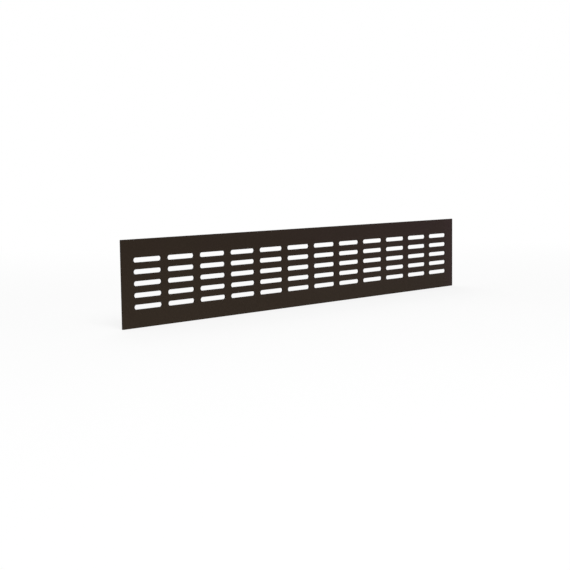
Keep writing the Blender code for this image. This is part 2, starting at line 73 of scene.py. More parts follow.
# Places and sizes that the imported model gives
FACE_LOW, FACE_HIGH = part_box("face_plate")
SHUTTER_LOW, SHUTTER_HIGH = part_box("shutter_plate")
RAIL_LOW, RAIL_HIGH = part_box("base_rail_bottom")
STUD_HEAD, STUD_END = fastener_size("shutter_stud_bottom_1")
RIVET_HEAD, RIVET_END = fastener_size("grip_rivet_lower")
SCREW_HEAD, SCREW_END = fastener_size("fixing_screw_bottom_left")
SLIDE = frame["joints"][0]
TRAVEL = SLIDE["range_m"][1] * Vector(SLIDE["axis"])

# Directions: a flat outline's own Z becomes -Y, and a section's own Z becomes X
STRAIGHT = Matrix.Identity(4)
SHEET_FRAME = Matrix.Rotation(math.pi / 2, 4, "X")
SECTION_FRAME = Matrix.Rotation(math.pi / 2, 4, "Z") @ SHEET_FRAME
HALF_TURN = Matrix.Rotation(math.pi, 4, "Y")

# Mesh work
WELD = 0.000002
FILLET_STEPS = 4
LARGE_FILLET_STEPS = 10
ROUND_STEPS = 40
RIB_STEPS = 8
HOLLOW_STEPS = 120
THREAD_STEPS = 28
FOAM_POINTS = 32
EDGE_ANGLE = math.radians(33)
SHARP_ANGLE = math.radians(40)
FLAT_ANGLE = math.radians(0.5)
FLAT_AREA = 0.000005
FLAT_WIDTH = 0.001
BORDERS = 2
BORDER_WIDTH = 0.00005
HAIR = 0.000001
CUT_PAST = 0.001

# Shares of a size
THREAD_START = 0.12
THREAD_END = 0.35
THREAD_RIDGE = 0.72
POINT_WIDTH, POINT_HEIGHT = 0.45, 0.28
RECESS_FOOT, RECESS_THICKNESS = 0.35, 0.42
RIVET_CHAMFER = 0.04
DIMPLE_TOP, DIMPLE_FLOOR = 0.8, 0.5

# Seeds for the turns of fasteners about their own axes
RIVET_SEED = 3
STUD_SEED = 5
SCREW_SEED = 11

# Stage and coat
# Width of the band of painted sheen on the front beside the grip
MARGIN_WIDTH = 0.025
FRONT_DEPTH = 0.0005
LAMP_SIZE = 1.0
KEY_PLACE = Vector((-0.75, -1.25, 1.35))
FILL_PLACE = Vector((0.9, 1.2, 1.0))
WHITE = (1.0, 1.0, 1.0, 1.0)


def length(name, description, default):
    return FloatProperty(
        name=name, description=description, default=default, min=0, unit="LENGTH", precision=5)


def angle(name, description, degrees):
    return FloatProperty(
        name=name, description=description, default=math.radians(degrees), unit="ROTATION")


def count(name, description, default, least=1):
    return IntProperty(name=name, description=description, default=default, min=least)


def colour(name, description, default):
    return FloatVectorProperty(
        name=name, description=description, default=default, size=3, min=0, max=1, subtype="COLOR")


class SlotSizes(bpy.types.PropertyGroup):
    """The pattern that the face plate and the shutter share."""

    columns: count("Columns", "Slots along the vent", 12)
    rows: count("Rows", "Slots above each other", 5)
    column_pitch: length("Column pitch", "From slot to slot along the vent", 0.040)
    row_pitch: length("Row pitch", "From slot to slot upwards", 0.0106)
    arc_points: count("Arc points", "Points of a quarter round", 9, 2)


class FaceSizes(bpy.types.PropertyGroup):
    """The coated face plate and the snap legs on its back."""

    thickness: length("Thickness", "Sheet of the face plate", 0.0018)
    slot_length: length("Slot length", "Length over the round ends", 0.0326)
    slot_height: length("Slot height", "Height of a slot", 0.0044)
    corner: length("Corner", "Radius of the four corners", 0.0004)
    edge: length("Edge", "Radius that the coat leaves on the edges", 0.0002)
    leg_inset: length("Leg inset", "From the edge of the plate to a leg", 0.0010)
    leg_thickness: length("Leg thickness", "Thickness of a leg", 0.0010)
    leg_setback: length("Leg setback", "From the end of the plate to a leg", 0.012)
    leg_root: length("Leg root", "Depth of a leg inside the plate", 0.0005)
    barb_height: length("Barb height", "How far a barb stands out", 0.0006)
    barb_width: length("Barb width", "Width of a barb at its root", 0.0008)
    leg_fillet: length("Leg fillet", "Radius on the corners of a leg", 0.00012)


class ShutterSizes(bpy.types.PropertyGroup):
    """The sliding sheet."""

    slot_length: length("Slot length", "Length over the round ends", 0.0368)
    slot_height: length("Slot height", "Height of a slot", 0.0052)
    tab_height: length("Tab height", "Height of the tab that carries the grip", 0.040)
    tab_corner: length("Tab corner", "Radius on the tab", 0.0020)
    corner: length("Corner", "Radius on the other corners", 0.0010)
    edge: length("Edge", "Radius that the coat leaves on the edges", 0.00015)
    clearance: length("Clearance", "Gap round studs and rivets", 0.0003)


class RailSizes(bpy.types.PropertyGroup):
    """The extruded base rails."""

    wall: length("Wall", "Thickness of the wall that carries the face plate", 0.0018)
    web: length("Web", "Thickness of the web that lies on the window", 0.0015)
    lead_in: length("Lead-in", "Chamfer that the snap legs ride over", 0.0004)
    groove_depth: length("Groove depth", "Depth of the groove for the barbs", 0.0009)
    clearance: length("Clearance", "Gap round barbs, studs and screws", 0.0003)
    fillet: length("Fillet", "Radius on the corners of the extrusion", 0.00015)


class MouldingSizes(bpy.types.PropertyGroup):
    """The moulded end caps and grip."""

    cap_edge: length("Cap edge", "Radius on the edges of an end cap", 0.0003)
    grip_edge: length("Grip edge", "Radius on the edges of the grip", 0.00035)
    grip_corner: length("Grip corner", "Radius on the outer corners of the grip", 0.0030)
    grip_inner_corner: length("Grip inner corner", "Radius on the inner corners of the grip", 0.0008)
    grip_nose: length("Grip nose", "Width of the flat beside the shutter's tab", 0.0011)
    grip_rim: length("Grip rim", "Thickness of the grip's thin side", 0.0006)
    clearance: length("Clearance", "Gap round the tab and the rivets", 0.0003)
    hollow_height: length("Hollow height", "Height of the hollow for a fingertip", 0.026)
    hollow_width: length("Hollow width", "Width of the hollow", 0.0046)
    hollow_depth: length("Hollow depth", "Depth of the hollow", 0.0009)
    hollow_ribs: count("Ribs", "Ribs in the hollow", 7)
    rib_height: length("Rib height", "How far a rib stands out", 0.00025)


class FastenerSizes(bpy.types.PropertyGroup):
    """Studs, rivets and fixing screws."""

    stud_head: length("Stud head", "Thickness of a stud's head", 0.0005)
    stud_shank: length("Stud shank", "Diameter of a stud's shank", 0.0025)
    stud_fillet: length("Stud fillet", "Radius on a stud's edges", 0.00012)
    rivet_head: length("Rivet head", "Thickness of a rivet's rear head", 0.0006)
    rivet_shank: length("Rivet shank", "Diameter of a rivet's shank", 0.0016)
    rivet_dimple: length("Rivet dimple", "Depth of the dimple in a rivet's rear head", 0.00025)
    screw_shank: length("Screw shank", "Diameter over the thread", 0.0030)
    screw_core: length("Screw core", "Diameter under the thread", 0.0021)
    screw_pitch: length("Screw pitch", "From turn to turn of the thread", 0.00135)
    screw_point: length("Screw point", "Length of the point", 0.0035)
    screw_rim: length("Screw rim", "Straight rim of the head", 0.00025)
    recess_width: length("Recess width", "Width of the cross recess", 0.0030)
    recess_depth: length("Recess depth", "Depth of the cross recess", 0.0014)


class SealSizes(bpy.types.PropertyGroup):
    """Foam strips."""

    corner: length("Corner", "Radius on the long edges", 0.0003)
    spare: length("Spare", "Gap between foam and rail", 0.00004)
    unevenness: length("Unevenness", "How far the cut sides wander", 0.00018)
    stations: count("Stations", "Sections along a strip", 420, 2)


class Finishes(bpy.types.PropertyGroup):
    """Colours, as linear values."""

    coat: colour("Coat", "Powder coat", (0.0275, 0.0185, 0.0120))
    # Redder coat: the coat's own tone in clouds, and painted sheen in a slope towards the right end
    coat_warm: colour("Warm coat", "Powder coat where it is redder", (0.0290, 0.0160, 0.0150))
    # Paler coat: the coat's own tone in clouds, and painted light in a slope that is paler towards the
    # bottom
    coat_pale: colour("Pale coat", "Powder coat where it is paler", (0.0380, 0.0265, 0.0175))
    # Painted sheen: a purple-red tint on the front beside the grip, which stands in for a reflection
    coat_margin: colour("Coat margin", "Powder coat beside the grip", (0.0420, 0.0235, 0.0250))
    coat_edge: colour("Coat edge", "Powder coat on edges and in pits", (0.0150, 0.0100, 0.0075))
    grip: colour("Grip", "Moulded grip", (0.0300, 0.0240, 0.0210))
    cap: colour("Cap", "Moulded end caps", (0.0280, 0.0260, 0.0250))
    aluminium: colour("Aluminium", "Mill finish", (0.60, 0.60, 0.59))
    nylon: colour("Nylon", "Natural nylon", (0.72, 0.70, 0.64))
    zinc: colour("Zinc", "Zinc plating", (0.56, 0.55, 0.50))
    foam: colour("Foam", "Closed-cell foam", (0.045, 0.045, 0.048))
    floor: colour("Floor", "Floor of the stage", (0.93, 0.93, 0.93))


class StageSizes(bpy.types.PropertyGroup):
    """Camera, lamps and floor."""

    yaw: angle("Yaw", "Turn of the view from +Y towards +X", 46.45)
    pitch: angle("Pitch", "How far the view looks down", 5.53)
    roll: angle("Roll", "Turn of the camera about its view", -0.75)
    distance: length("Distance", "From the camera to the point that it aims at", 1.1804)
    aim: FloatVectorProperty(
        name="Aim", description="Point that the camera looks at",
        default=(-0.0408, -0.0063, -0.0164), size=3, unit="LENGTH")
    lens: FloatProperty(name="Lens", description="Focal length", default=73.4, min=1, unit="CAMERA")
    floor_size: length("Floor size", "Side of the floor", 12.0)
    floor_glow: FloatProperty(
        name="Floor glow", description="Share of plain white in what the camera sees of the floor",
        default=0.80, min=0, max=1, subtype="FACTOR")
    fade_start: length("Fade start", "Where the floor starts to fade to plain white", 0.30)
    fade_end: length("Fade end", "Where the floor is plain white", 1.10)
    sky: FloatProperty(name="Sky", description="Strength of the surrounding light", default=0.38, min=0)
    key_power: FloatProperty(
        name="Key", description="Power of the large lamp", default=23.0, unit="POWER")
    fill_power: FloatProperty(
        name="Fill", description="Power of the lamp behind", default=10.0, unit="POWER")


class VentSettings(bpy.types.PropertyGroup):
    """Everything that a user may change."""

    slots: PointerProperty(type=SlotSizes, name="Slots", description="Slot pattern")
    face: PointerProperty(type=FaceSizes, name="Face", description="Face plate")
    shutter: PointerProperty(type=ShutterSizes, name="Shutter", description="Sliding sheet")
    rail: PointerProperty(type=RailSizes, name="Rail", description="Base rails")
    moulding: PointerProperty(type=MouldingSizes, name="Mouldings", description="End caps and grip")
    fastener: PointerProperty(type=FastenerSizes, name="Fasteners", description="Studs, rivets, screws")
    seal: PointerProperty(type=SealSizes, name="Seals", description="Foam strips")
    finishes: PointerProperty(type=Finishes, name="Finishes", description="Colours")
    stage: PointerProperty(type=StageSizes, name="Stage", description="Camera, lamps and floor")


def settings():
    return bpy.context.scene.trickle_vent


# Node trees

def feed(tree, socket, value):
    """Puts a value at a socket, or links a source or a list of them. A node stands for its first output."""
    for item in value if isinstance(value, list) else [value]:
        if isinstance(item, bpy.types.Node):
            item = item.outputs[0]
        if isinstance(item, bpy.types.NodeSocket):
            tree.links.new(item, socket)
        else:
            socket.default_value = item


def grow(tree, kind, inputs=(), **choices):
    """Adds a node, makes its choices and feeds its inputs."""
    made = tree.nodes.new(kind)
    for name, value in choices.items():
        setattr(made, name, value)
    for name, value in dict(inputs).items():
        feed(tree, made.inputs[name], value)
    return made


def arith(tree, operation, *values):
    return grow(tree, "ShaderNodeMath", enumerate(values), operation=operation)


def times(tree, first, second):
    return arith(tree, "MULTIPLY", first, second)


def remap(tree, value, from_low, from_high, to_low=0.0, to_high=1.0):
    return grow(tree, "ShaderNodeMapRange", {
        "Value": value, "From Min": from_low, "From Max": from_high, "To Min": to_low, "To Max": to_high})


def noise(tree, vector, scale, detail, **others):
    return grow(tree, "ShaderNodeTexNoise", {"Vector": vector, "Scale": scale, "Detail": detail, **others})


def new_tree(name, kind, inputs, outputs):
    """An empty node group. Each socket is given as its type, or as the default of a number."""
    tree = bpy.data.node_groups.new(name, kind)
    for direction, sockets in (("INPUT", inputs), ("OUTPUT", outputs)):
        for title, given in sockets.items():
            number = {int: "Int", float: "Float"}.get(type(given))
            socket = tree.interface.new_socket(
                title, in_out=direction, socket_type="NodeSocket" + (number or given))
            if number:
                socket.default_value = given
    return tree, tree.nodes.new("NodeGroupInput").outputs, tree.nodes.new("NodeGroupOutput").inputs


def once(build):
    """The node group that a function builds, built the first time it is asked for."""
    name = build.__name__.removeprefix("build_").replace("_", " ").capitalize()
    return bpy.data.node_groups.get(name) or build(name)


def end_tree(tree, geometry, given, made):
    """Ends a tree in Realize Instances and Set Material."""
    real = grow(tree, "GeometryNodeRealizeInstances", {"Geometry": geometry})
    painted = grow(tree, "GeometryNodeSetMaterial", {"Geometry": real, "Material": given["Material"]})
    feed(tree, made[0], painted)
    return tree


def rounded_box(tree, width, height, radius, points):
    box = grow(tree, "GeometryNodeCurvePrimitiveQuadrilateral", {"Width": width, "Height": height})
    inputs = {"Curve": box, "Count": points, "Radius": radius, "Limit Radius": True}
    return grow(tree, "GeometryNodeFilletCurve", inputs, mode="POLY")


def swept(tree, path, section):
    return grow(
        tree, "GeometryNodeCurveToMesh", {"Curve": path, "Profile Curve": section, "Fill Caps": True})


def build_perforated_sheet(name):
    """A flat sheet: an outline with its own holes, and a grid of round-ended slots."""
    tree, given, made = new_tree(name, "GeometryNodeTree", {
        "Outline": "Geometry", "Columns": 1, "Rows": 1, "Column Pitch": 0.01, "Row Pitch": 0.01,
        "Slot Length": 0.01, "Slot Height": 0.01, "Arc Points": 8, "Thickness": 0.001,
        "Material": "Material",
    }, {"Sheet": "Geometry"})
    spans = [times(tree, arith(tree, "SUBTRACT", given[number], 1.0), given[pitch])
             for number, pitch in (("Columns", "Column Pitch"), ("Rows", "Row Pitch"))]
    centres = grow(tree, "GeometryNodeMeshGrid", {
        "Vertices X": given["Columns"], "Vertices Y": given["Rows"], "Size X": spans[0], "Size Y": spans[1]})
    radius = times(tree, given["Slot Height"], 0.5)
    slot = rounded_box(tree, given["Slot Length"], given["Slot Height"], radius, given["Arc Points"])
    # Where two quarter rounds meet, their points fall together
    wire = grow(tree, "GeometryNodeCurveToMesh", {"Curve": slot})
    wire = grow(tree, "GeometryNodeMergeByDistance", {"Geometry": wire, "Distance": WELD})
    slots = grow(tree, "GeometryNodeInstanceOnPoints", {"Points": centres, "Instance": wire})
    slots = grow(tree, "GeometryNodeRealizeInstances", {"Geometry": slots})
    wires = grow(tree, "GeometryNodeJoinGeometry", {"Geometry": [slots, given["Outline"]]})
    loops = grow(tree, "GeometryNodeMeshToCurve", {"Mesh": wires})
    filled = grow(tree, "GeometryNodeFillCurve", {"Curve": loops}, mode="NGONS")
    raised = grow(tree, "GeometryNodeExtrudeMesh", {
        "Mesh": filled, "Offset Scale": given["Thickness"], "Individual": False})
    back = grow(tree, "GeometryNodeFlipFaces", {"Mesh": filled})
    solid = grow(tree, "GeometryNodeJoinGeometry", {"Geometry": [raised, back]})
    solid = grow(tree, "GeometryNodeMergeByDistance", {"Geometry": solid, "Distance": WELD})
    return end_tree(tree, solid, given, made)


def build_fastener_set(name):
    """One fastener at each point, each turned about its own axis by a seeded angle."""
    tree, given, made = new_tree(name, "GeometryNodeTree", {
        "Places": "Geometry", "Fastener": "Object", "Seed": 0, "Material": "Material",
    }, {"Fasteners": "Geometry"})
    shape = grow(tree, "GeometryNodeObjectInfo", {"Object": given["Fastener"]}).outputs["Geometry"]
    # Other types' sockets have the same names, so a random number's lowest and highest go by number
    spin = grow(tree, "FunctionNodeRandomValue", {2: 0.0, 3: math.tau, "Seed": given["Seed"]}).outputs[1]
    turn = grow(tree, "ShaderNodeCombineXYZ", {"Y": spin})
    placed = grow(tree, "GeometryNodeInstanceOnPoints", {
        "Points": given["Places"], "Instance": shape, "Rotation": turn})
    return end_tree(tree, placed, given, made)


def build_screw_thread(name):
    """A three-sided ridge that winds up from a screw's point at the origin, thinner at both ends."""
    tree, given, made = new_tree(name, "GeometryNodeTree", {
        "Base": "Geometry", "Pitch": 0.001, "Height": 0.01, "Outer Radius": 0.001, "Ridge": 0.0003,
        "Point Length": 0.003, "Steps": 24, "Material": "Material",
    }, {"Thread": "Geometry"})
    height, pitch = given["Height"], given["Pitch"]
    radius = arith(tree, "SUBTRACT", given["Outer Radius"], given["Ridge"])
    spiral = grow(tree, "GeometryNodeCurveSpiral", {
        "Resolution": given["Steps"], "Rotations": arith(tree, "DIVIDE", height, pitch),
        "Start Radius": radius, "End Radius": radius, "Height": height})
    position = grow(tree, "GeometryNodeInputPosition")
    place = grow(tree, "ShaderNodeSeparateXYZ", {"Vector": position}).outputs
    share = remap(tree, place["Z"], 0.0, given["Point Length"], THREAD_START, 1.0)
    fade = remap(tree, place["Z"], arith(tree, "SUBTRACT", height, pitch), height, 1.0, THREAD_END)
    tapered = grow(tree, "ShaderNodeCombineXYZ", {
        "X": times(tree, place["X"], share), "Y": times(tree, place["Y"], share), "Z": place["Z"]})
    upright = grow(tree, "GeometryNodeSetCurveNormal", {"Curve": spiral}, mode="Z_UP")
    sized = grow(tree, "GeometryNodeSetCurveRadius", {"Curve": upright, "Radius": times(tree, share, fade)})
    path = grow(tree, "GeometryNodeSetPosition", {"Geometry": sized, "Position": tapered})
    section = grow(tree, "GeometryNodeCurvePrimitiveCircle", {"Resolution": 3, "Radius": given["Ridge"]})
    return end_tree(tree, swept(tree, path, section), given, made)


def build_foam_strip(name):
    """A foam strip along X with rounded edges and slightly uneven sides."""
    tree, given, made = new_tree(name, "GeometryNodeTree", {
        "Base": "Geometry", "Length": 0.1, "Width": 0.005, "Thickness": 0.001, "Corner": 0.0003,
        "Unevenness": 0.0001, "Stations": 100, "Material": "Material",
    }, {"Strip": "Geometry"})
    ends = {side: grow(tree, "ShaderNodeCombineXYZ", {"X": times(tree, given["Length"], share)})
            for side, share in (("Start", -0.5), ("End", 0.5))}
    line = grow(tree, "GeometryNodeCurvePrimitiveLine", ends)
    path = grow(tree, "GeometryNodeResampleCurve", {"Curve": line, "Count": given["Stations"]})
    upright = grow(tree, "GeometryNodeSetCurveNormal", {"Curve": path}, mode="Z_UP")
    outline = rounded_box(tree, given["Thickness"], given["Width"], given["Corner"], FILLET_STEPS)
    section = grow(tree, "GeometryNodeResampleCurve", {"Curve": outline, "Count": FOAM_POINTS})
    strip = swept(tree, upright, section)
    wander = grow(tree, "ShaderNodeTexNoise", {"Scale": 420.0, "Detail": 2.0}).outputs["Color"]
    centred = grow(tree, "ShaderNodeVectorMath", {0: wander, 1: (0.5, 0.5, 0.5)}, operation="SUBTRACT")
    offset = grow(
        tree, "ShaderNodeVectorMath", {0: centred, "Scale": given["Unevenness"]}, operation="SCALE")
    uneven = grow(tree, "GeometryNodeSetPosition", {"Geometry": strip, "Offset": offset})
    return end_tree(tree, uneven, given, made)


# Effects that several finishes share

def build_patches(name):
    """Broad, soft patches between 0 and 1."""
    tree, given, made = new_tree(name, "ShaderNodeTree", {
        "Vector": "Vector", "Scale": 12.0, "Contrast": 0.15,
    }, {"Mask": "Float"})
    low = arith(tree, "SUBTRACT", 0.5, given["Contrast"])
    high = arith(tree, "ADD", 0.5, given["Contrast"])
    feed(tree, made["Mask"], remap(tree, noise(tree, given["Vector"], given["Scale"], 3.0), low, high))
    return tree


def build_grain(name):
    """A height with soft waves and a finer grain, as coats and mouldings have."""
    tree, given, made = new_tree(name, "ShaderNodeTree", {
        "Vector": "Vector", "Wave Scale": 600.0, "Grain Scale": 3500.0, "Grain Share": 0.3,
    }, {"Height": "Float", "Speck": "Float"})
    wave = noise(tree, given["Vector"], given["Wave Scale"], 2.0)
    grain = noise(tree, given["Vector"], given["Grain Scale"], 1.0)
    waves = times(tree, wave, arith(tree, "SUBTRACT", 1.0, given["Grain Share"]))
    feed(tree, made["Height"], arith(tree, "ADD", waves, times(tree, grain, given["Grain Share"])))
    feed(tree, made["Speck"], remap(tree, grain, 0.35, 0.65))
    return tree


def build_drawn_lines(name):
    """Fine lines along X, as drawing through a die or turning leaves them."""
    tree, given, made = new_tree(name, "ShaderNodeTree", {
        "Vector": "Vector", "Line Scale": 2500.0, "Stretch": 0.01,
    }, {"Height": "Float", "Tone": "Float"})
    stretch = grow(tree, "ShaderNodeCombineXYZ", {"X": given["Stretch"], "Y": 1.0, "Z": 1.0})
    along = grow(tree, "ShaderNodeVectorMath", {0: given["Vector"], 1: stretch}, operation="MULTIPLY")
    fine = noise(tree, along, given["Line Scale"], 3.0, Roughness=0.7)
    broad = noise(tree, along, times(tree, given["Line Scale"], 0.15), 2.0)
    tone = arith(tree, "ADD", times(tree, fine, 0.5), times(tree, broad, 0.5))
    feed(tree, made["Height"], fine)
    feed(tree, made["Tone"], remap(tree, tone, 0.35, 0.65))
    return tree


def build_edge_rub(name):
    """A mask of the outward edges, broken up along them."""
    tree, given, made = new_tree(name, "ShaderNodeTree", {
        "Vector": "Vector", "Start": 0.51, "Full": 0.56, "Break Scale": 300.0,
    }, {"Mask": "Float"})
    pointiness = grow(tree, "ShaderNodeNewGeometry").outputs["Pointiness"]
    edge = remap(tree, pointiness, given["Start"], given["Full"])
    broken = remap(tree, noise(tree, given["Vector"], given["Break Scale"], 2.0), 0.3, 0.6, 0.35, 1.0)
    feed(tree, made["Mask"], times(tree, edge, broken))
    return tree


# Finishes: each maker gets a node tree and the place on the piece, and returns what its shader takes

def effect(tree, build, vector, **values):
    """Places a shared effect in a material, with its own values."""
    named = {key.replace("_", " ").title(): value for key, value in values.items()}
    return grow(tree, "ShaderNodeGroup", {"Vector": vector, **named}, node_tree=once(build))


def mixed(tree, share, first, second):
    """A colour between two, by a share. Other types' sockets have the same names, so these go by number."""
    first, second = (
        side if isinstance(side, (bpy.types.Node, bpy.types.NodeSocket)) else (*side, 1.0)
        for side in (first, second))
    return grow(tree, "ShaderNodeMix", {0: share, 6: first, 7: second}, data_type="RGBA").outputs[2]


def leaning(tree, base, tint, clouds, weight, slope):
    """A colour that leans to a tint by a slope across the piece, and more so in clouds."""
    share = arith(tree, "ADD", times(tree, clouds, weight), slope)
    return mixed(tree, remap(tree, share, 0.0, 1.0), base, tint)


def scaled_colour(value, factor):
    return [min(1.0, channel * factor) for channel in value]


def bumped(tree, height, strength, distance):
    return grow(tree, "ShaderNodeBump", {"Height": height, "Strength": strength, "Distance": distance})


def coated(tree, place, painted_sheen_share):
    """Matt powder coat: waves, fine pits, clouds of a redder and a paler tone of its own, and darker edges;
    painted sheen makes it redder towards the right and tints the front beside the grip, and painted light
    makes it paler towards the bottom.
    """
    tones = settings().finishes
    axes = grow(tree, "ShaderNodeSeparateXYZ", {"Vector": place}).outputs
    patches = effect(tree, build_patches, place, scale=9.0, contrast=0.16)
    # Painted sheen: redder towards the right end; the redder clouds are the coat's own tone
    painted_sheen_rightwards = remap(tree, axes["X"], FACE_LOW.x, FACE_HIGH.x, -0.30, 0.60)
    base = leaning(tree, tones.coat, tones.coat_warm, patches, 0.45, painted_sheen_rightwards)
    clouds = effect(tree, build_patches, place, scale=14.0, contrast=0.22)
    # Painted light: paler towards the bottom; the paler clouds are the coat's own tone
    painted_light_downwards = remap(tree, axes["Z"], FACE_LOW.z, FACE_HIGH.z, 0.75, -0.25)
    base = leaning(tree, base, tones.coat_pale, clouds, 0.30, painted_light_downwards)
    # Painted sheen: the front of the face turns towards a purple-red tint near the end beside the grip
    margin = remap(tree, axes["X"], FACE_HIGH.x - MARGIN_WIDTH, FACE_HIGH.x, 0.0, painted_sheen_share)
    front = remap(tree, axes["Y"], FACE_LOW.y + FRONT_DEPTH, FACE_LOW.y)
    base = mixed(tree, times(tree, margin, front), base, tones.coat_margin)
    grain = effect(tree, build_grain, place, wave_scale=650.0, grain_scale=3800.0, grain_share=0.35)
    pits = remap(tree, grain.outputs["Speck"], 0.0, 1.0, 0.40, 0.0)
    base = mixed(tree, pits, base, tones.coat_edge)
    rub = effect(tree, build_edge_rub, place, start=0.52, full=0.60, break_scale=250.0)
    return {
        "Base Color": mixed(tree, rub, base, tones.coat_edge),
        "Roughness": remap(tree, grain, 0.3, 0.7, 0.66, 0.44),
        "Normal": bumped(tree, grain, 0.8, 0.00016),
        "Specular IOR Level": 0.05,
    }


def moulded(tree, place, tone, grain_scale):
    """Fine-grained plastic, a little paler and smoother where it is handled."""
    patches = effect(tree, build_patches, place, scale=60.0, contrast=0.2)
    grain = effect(tree, build_grain, place, wave_scale=900.0, grain_scale=grain_scale, grain_share=0.7)
    rub = effect(tree, build_edge_rub, place, start=0.51, full=0.57, break_scale=400.0)
    base = mixed(tree, patches, scaled_colour(tone, 0.85), scaled_colour(tone, 1.15))
    return {
        "Base Color": mixed(tree, rub, base, scaled_colour(tone, 1.7)),
        "Roughness": remap(tree, rub, 0.0, 1.0, 0.58, 0.38),
        "Normal": bumped(tree, grain, 0.45, 0.00005),
        "Specular IOR Level": 0.22,
    }


def drawn_metal(tree, place, tone, rough, line_scale, stretch):
    """Bare or plated metal with lines along X, cloudy patches and brighter edges."""
    patches = effect(tree, build_patches, place, scale=35.0, contrast=0.2)
    lines = effect(tree, build_drawn_lines, place, line_scale=line_scale, stretch=stretch)
    rub = effect(tree, build_edge_rub, place, start=0.51, full=0.57, break_scale=300.0)
    base = mixed(tree, lines.outputs["Tone"], scaled_colour(tone, 0.62), scaled_colour(tone, 1.06))
    base = mixed(tree, remap(tree, patches, 0.0, 1.0, 0.0, 0.12), base, scaled_colour(tone, 0.8))
    spread = remap(tree, lines.outputs["Tone"], 0.0, 1.0, rough + 0.14, rough)
    return {
        "Base Color": mixed(tree, rub, base, scaled_colour(tone, 1.25)),
        "Roughness": arith(tree, "ADD", spread, remap(tree, patches, 0.0, 1.0, -0.01, 0.02)),
        "Normal": bumped(tree, lines, 0.5, 0.00005),
        "Metallic": 1.0,
    }


def foamed(tree, place, tone):
    """Closed-cell foam: small cells, each a shallow pit whose middle is darkened by painted shade."""
    cells = grow(tree, "ShaderNodeTexVoronoi", {"Vector": place, "Scale": 2600.0}, feature="F1")
    patches = effect(tree, build_patches, place, scale=80.0, contrast=0.2)
    pit = remap(tree, cells, 0.0, 0.6)
    # Painted shade: each cell's pit is darker towards its middle
    base = mixed(tree, pit, scaled_colour(tone, 0.55), scaled_colour(tone, 1.25))
    return {
        "Base Color": mixed(tree, remap(tree, patches, 0.0, 1.0, 0.0, 0.35), base, scaled_colour(tone, 1.5)),
        "Roughness": remap(tree, pit, 0.0, 1.0, 0.98, 0.88),
        "Normal": bumped(tree, pit, 0.8, 0.00012),
        "Specular IOR Level": 0.25,
    }


def new_finish(name, maker, *values):
    material = bpy.data.materials.new(name)
    material.use_nodes = True
    tree = material.node_tree
    place = grow(tree, "ShaderNodeTexCoord").outputs["Object"]
    for socket, value in maker(tree, place, *values).items():
        feed(tree, tree.nodes["Principled BSDF"].inputs[socket], value)
    return material


def finish(slot):
    """The material for one of the record's material slots, made the first time it is asked for."""
    tones = settings().finishes
    # Each slot's maker, and what that takes besides the tree and the place
    makers = {
        # The face's number is the share of its painted sheen beside the grip; the shutter has none
        "coated_face": (coated, 0.6),
        "coated_shutter": (coated, 0.0),
        "moulded_grip": (moulded, tones.grip, 3200.0),
        "moulded_cap": (moulded, tones.cap, 2600.0),
        "nylon": (moulded, tones.nylon, 4200.0),
        "mill_aluminium": (drawn_metal, tones.aluminium, 0.30, 2600.0, 0.006),
        "rivet_aluminium": (drawn_metal, tones.aluminium, 0.26, 3400.0, 0.6),
        "plated_steel": (drawn_metal, tones.zinc, 0.24, 3000.0, 0.7),
        "foam": (foamed, tones.foam),
    }
    name = slot + "_finish"
    return bpy.data.materials.get(name) or new_finish(name, *makers[slot])


# Shapes

def filleted(corners, steps=FILLET_STEPS):
    """An outline from its corners, each with the radius of its fillet, which may be zero."""
    outline = []
    for i, (u, v, radius) in enumerate(corners):
        corner = Vector((u, v))
        if not radius:
            outline.append((u, v))
            continue
        before = (Vector(corners[i - 1][:2]) - corner).normalized()
        after = (Vector(corners[(i + 1) % len(corners)][:2]) - corner).normalized()
        half = before.angle(after) / 2
        centre = corner + (before + after).normalized() * radius / math.sin(half)
        first = corner + before * radius / math.tan(half) - centre
        last = corner + after * radius / math.tan(half) - centre
        sweep = first.angle(last)
        for step in range(steps + 1):
            turn = sweep * step / steps
            spoke = (first * math.sin(sweep - turn) + last * math.sin(turn)) / math.sin(sweep)
            outline.append(tuple(centre + spoke))
    return outline


def box_outline(low, high, left_radius, right_radius, steps):
    """The outline of a box seen from the front, with rounded corners."""
    return filleted([
        (low.x, low.z, left_radius), (high.x, low.z, right_radius),
        (high.x, high.z, right_radius), (low.x, high.z, left_radius),
    ], steps)


def circle(centre, radius):
    turns = [math.tau * i / ROUND_STEPS for i in range(ROUND_STEPS)]
    return [(centre.x + radius * math.cos(t), centre.z + radius * math.sin(t)) for t in turns]


def round_ended(centre, straight, radius, slant):
    """A slot whose arcs' centres stand a straight length apart, along a slant."""
    half_steps = ROUND_STEPS // 2
    points = []
    for end in (1, -1):
        for i in range(half_steps + 1):
            turn = math.pi * i / half_steps - end * math.pi / 2
            point = Vector((end * straight / 2 + radius * math.cos(turn), radius * math.sin(turn)))
            points.append(tuple(Matrix.Rotation(slant, 2) @ point + centre.xz))
    return points


def place_in_scene(name, data):
    obj = bpy.data.objects.new(name, data)
    bpy.context.scene.collection.objects.link(obj)
    return obj


def mesh_object(name, points=(), edges=(), faces=()):
    mesh = bpy.data.meshes.new(name)
    mesh.from_pydata(points, edges, faces)
    return place_in_scene(name, mesh)


def evaluated_mesh(obj):
    """The mesh that an object's curve or modifiers give."""
    bpy.context.view_layer.update()
    graph = bpy.context.evaluated_depsgraph_get()
    return bpy.data.meshes.new_from_object(obj.evaluated_get(graph))


def settle(obj):
    """Puts what an object's modifiers make of it into its own mesh, and removes them."""
    mesh = evaluated_mesh(obj)
    mesh.name = obj.name
    obj.modifiers.clear()
    obj.data = mesh
    return obj


def discard(obj):
    bpy.data.objects.remove(obj, do_unlink=True)


